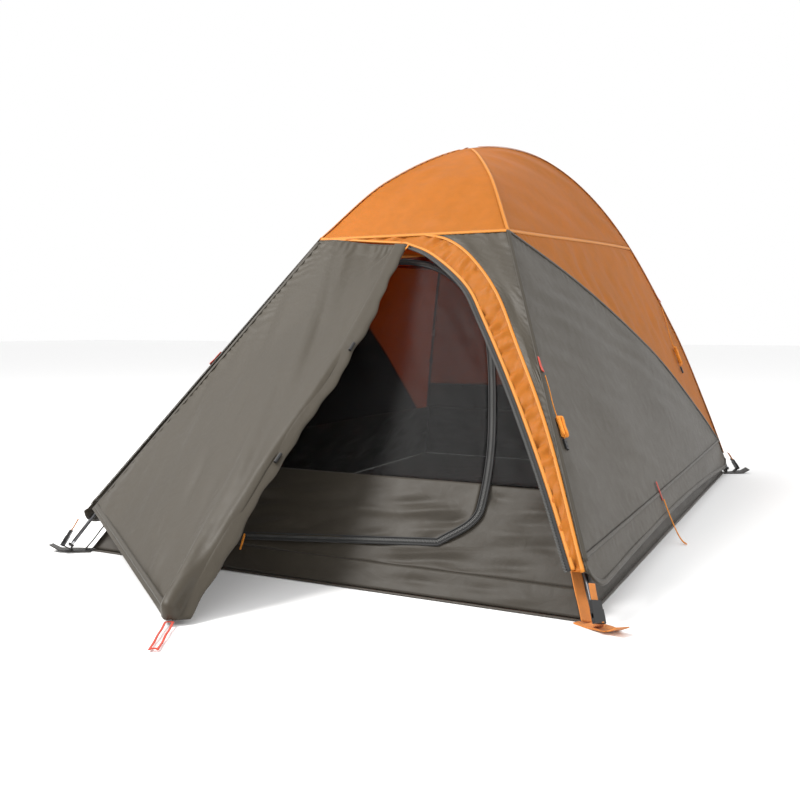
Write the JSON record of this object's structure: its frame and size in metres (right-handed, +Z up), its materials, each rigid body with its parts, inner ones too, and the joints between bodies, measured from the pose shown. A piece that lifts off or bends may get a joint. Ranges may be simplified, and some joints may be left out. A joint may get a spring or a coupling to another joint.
{
  "type": "dome tent on poles with fly",
  "caption": "Dome tent on two crossed shock-corded poles, with a two-tone fly, a mesh inner tent, a zipped door and a front awning flap.",
  "frame": {"origin": "on the ground at the centre of the rectangular floor", "axes": "+Z up, -Y towards the door and the awning flap, +X to the right of someone looking in at the door from the rear of the tent; the long side runs along Y"},
  "size_m": [1.4812, 2.7495, 1.1622],
  "materials": {
    "orange_fabric": "matte woven nylon taffeta, warm orange",
    "dark_fabric": "matte woven nylon taffeta, dark taupe grey",
    "inner_wall_fabric": "soft woven nylon, dark brown grey",
    "dark_mesh": "fine knitted insect mesh, near black",
    "floor_fabric": "coated nylon, dark brown, slightly shiny",
    "pole_aluminium": "anodised tube with a satin sheen",
    "elastic_cord": "braided elastic cord",
    "black_plastic": "moulded acetal, satin",
    "orange_webbing": "flat woven webbing, orange",
    "dark_webbing": "flat woven webbing, dark grey",
    "red_webbing": "flat woven webbing, coral red",
    "orange_cord": "braided cord, yellow orange",
    "zipper_tape": "woven tape with a grey nylon coil",
    "zipper_metal": "dark enamel"
  },
  "bodies": {
    "tent": {"buckle_sockets": "black_plastic", "corner_patch_fl": "dark_webbing", "corner_patch_fr": "orange_webbing", "corner_patch_rl": "orange_webbing", "corner_patch_rr": "dark_webbing", "door_zip": "zipper_tape", "fly_arch_band": "orange_fabric", "fly_front_panel": "dark_fabric", "fly_hem_bands": "dark_fabric", "fly_rear_lower": "dark_fabric", "fly_rear_upper": "orange_fabric", "fly_roof": "orange_fabric", "fly_side_dark_left": "dark_fabric", "fly_side_dark_right": "dark_fabric", "fly_side_orange_left": "orange_fabric", "fly_side_orange_right": "orange_fabric", "fly_webbing_loops": "red_webbing", "guy_hank_front": "orange_cord", "guy_hank_rear": "orange_cord", "guy_run_front": "orange_cord", "guy_run_rear": "orange_cord", "inner_front_mesh": "dark_mesh", "inner_front_wall": "inner_wall_fabric", "inner_rear_mesh": "dark_mesh", "inner_rear_wall": "inner_wall_fabric", "inner_roof": "orange_fabric", "inner_side_meshes": "dark_mesh", "inner_side_walls": "inner_wall_fabric", "line_locks": "black_plastic", "pole_a_crown": "pole_aluminium", "pole_a_front_leg": "pole_aluminium", "pole_a_rear_leg": "pole_aluminium", "pole_b_crown": "pole_aluminium", "pole_b_front_leg": "pole_aluminium", "pole_b_rear_leg": "pole_aluminium", "pole_clips": "black_plastic", "pole_ferrules": "pole_aluminium", "pole_tips": "pole_aluminium", "shock_cords": "elastic_cord", "side_stake_cord": "orange_cord", "tub_floor": "floor_fabric", "vestibule_zip": "zipper_tape"},
    "flap": {"vestibule_flap": "dark_fabric", "vestibule_roll": "dark_fabric", "vestibule_stake_loop": "red_webbing", "vestibule_toggles": "black_plastic"},
    "inner_door": {"door_panel": "inner_wall_fabric", "door_mesh": "dark_mesh"},
    "door_slider": {"door_zip_slider": "zipper_metal"},
    "door_pull": {"door_zip_pull": "orange_cord"},
    "flap_slider": {"vestibule_zip_slider": "zipper_metal"},
    "flap_pull": {"vestibule_zip_pull": "orange_cord"},
    "prong_fl": {"buckle_prong_fl": "black_plastic", "fly_strap_fl": "orange_webbing"},
    "prong_fr": {"buckle_prong_fr": "black_plastic", "fly_strap_fr": "orange_webbing"},
    "prong_rl": {"buckle_prong_rl": "black_plastic", "fly_strap_rl": "orange_webbing"},
    "prong_rr": {"buckle_prong_rr": "black_plastic", "fly_strap_rr": "orange_webbing"}
  },
  "joints": [
    {"name": "flap_swing", "type": "hinge", "parent": "tent", "child": "flap", "pos_m": [-0.278, -0.51536, 0.82973], "axis": [-0.3569, -0.5801, -0.7322], "range_deg": [0, 110]},
    {"name": "door_swing", "type": "hinge", "parent": "tent", "child": "inner_door", "pos_m": [-0.201, -0.55416, 0.7], "axis": [-0.3236, -0.5667, -0.7577], "range_deg": [0, 55]},
    {"name": "door_zip_slide", "type": "slide", "parent": "tent", "child": "door_slider", "axis": [0.9968, 0.0478, 0.0639], "range_m": [0, 0.4]},
    {"name": "door_pull_swing", "type": "hinge", "parent": "door_slider", "child": "door_pull", "pos_m": [-0.193, -1.02845, 0.07759], "axis": [-0.9968, -0.0478, -0.0639], "range_deg": [0, 120]},
    {"name": "flap_zip_slide", "type": "slide", "parent": "tent", "child": "flap_slider", "axis": [0.8935, -0.2788, -0.352], "range_m": [0, 0.06]},
    {"name": "flap_pull_swing", "type": "hinge", "parent": "flap_slider", "child": "flap_pull", "pos_m": [0.014, -0.53991, 0.80035], "axis": [-0.8935, 0.2788, 0.352], "range_deg": [0, 120]},
    {"name": "buckle_slide_fl", "type": "slide", "parent": "tent", "child": "prong_fl", "axis": [0.3093, 0.4347, 0.8458], "range_m": [0, 0.024]},
    {"name": "buckle_slide_fr", "type": "slide", "parent": "tent", "child": "prong_fr", "axis": [-0.3093, 0.4347, 0.8458], "range_m": [0, 0.024]},
    {"name": "buckle_slide_rl", "type": "slide", "parent": "tent", "child": "prong_rl", "axis": [0.4078, -0.4208, 0.8103], "range_m": [0, 0.024]},
    {"name": "buckle_slide_rr", "type": "slide", "parent": "tent", "child": "prong_rr", "axis": [-0.4078, -0.4208, 0.8103], "range_m": [0, 0.024]}
  ],
  "couplings": [
    {"joint": "door_swing", "follows": "flap_swing", "ratio": 0.5}
  ]
}
